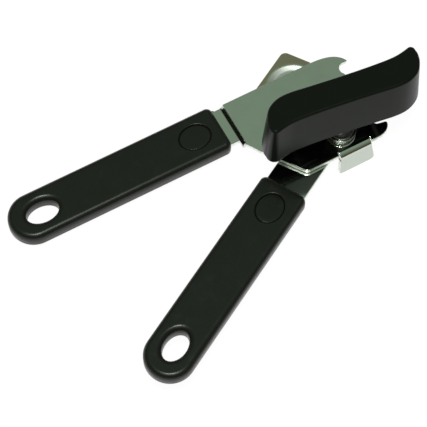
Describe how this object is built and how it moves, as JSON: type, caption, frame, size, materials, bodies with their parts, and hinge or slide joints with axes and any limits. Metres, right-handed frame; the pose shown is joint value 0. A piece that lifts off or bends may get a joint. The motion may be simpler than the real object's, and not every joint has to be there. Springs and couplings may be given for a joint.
{
  "type": "manual can opener",
  "caption": "Hand-held can opener: two handled levers on a pivot, a turning key driving a serrated feed wheel, a free cutting wheel, a guide tab and a bottle hook.",
  "frame": {"origin": "on the handle pivot's axis, at the top face of the pivot rivet's upper head", "axes": "+X along the upper handle towards the head, +Z along the pivot towards the turning key"},
  "size_m": [0.19, 0.1183, 0.0534],
  "materials": {
    "plated_sheet": "bright plated sheet steel",
    "bright_steel": "turned and plated",
    "hardened_steel": "hardened, ground edge",
    "black_plastic": "satin moulded plastic",
    "inlay_plastic": "smooth oval inlay"
  },
  "bodies": {
    "upper_lever": {"upper_plate": "plated_sheet", "upper_grip": "black_plastic", "upper_grip_inlay": "inlay_plastic", "pivot_rivet": "bright_steel", "pivot_washer": "bright_steel", "shaft_bushing": "bright_steel"},
    "lower_lever": {"lower_plate": "plated_sheet", "lower_grip": "black_plastic", "lower_grip_inlay": "inlay_plastic", "cutter_axle": "bright_steel", "cutter_spacer": "bright_steel", "cutter_washer": "bright_steel"},
    "cutter": {"cutting_wheel": "hardened_steel"},
    "drive": {"turn_key": "black_plastic", "key_collar": "bright_steel", "thrust_washer": "bright_steel", "drive_shaft": "bright_steel", "feed_wheel": "hardened_steel", "end_washer": "bright_steel", "wheel_nut": "bright_steel"}
  },
  "joints": [
    {"name": "handle_hinge", "type": "hinge", "parent": "upper_lever", "child": "lower_lever", "pos_m": [0, 0, -0.005], "axis": [0, 0, 1], "range_deg": [-28, 10]},
    {"name": "key_turn", "type": "hinge", "parent": "upper_lever", "child": "drive", "pos_m": [0.0126, -0.0156, 0], "axis": [0, 0, 1], "continuous": true},
    {"name": "cutter_spin", "type": "hinge", "parent": "lower_lever", "child": "cutter", "pos_m": [0.00869, 0.01009, -0.0095], "axis": [0, 0, 1], "continuous": true}
  ]
}
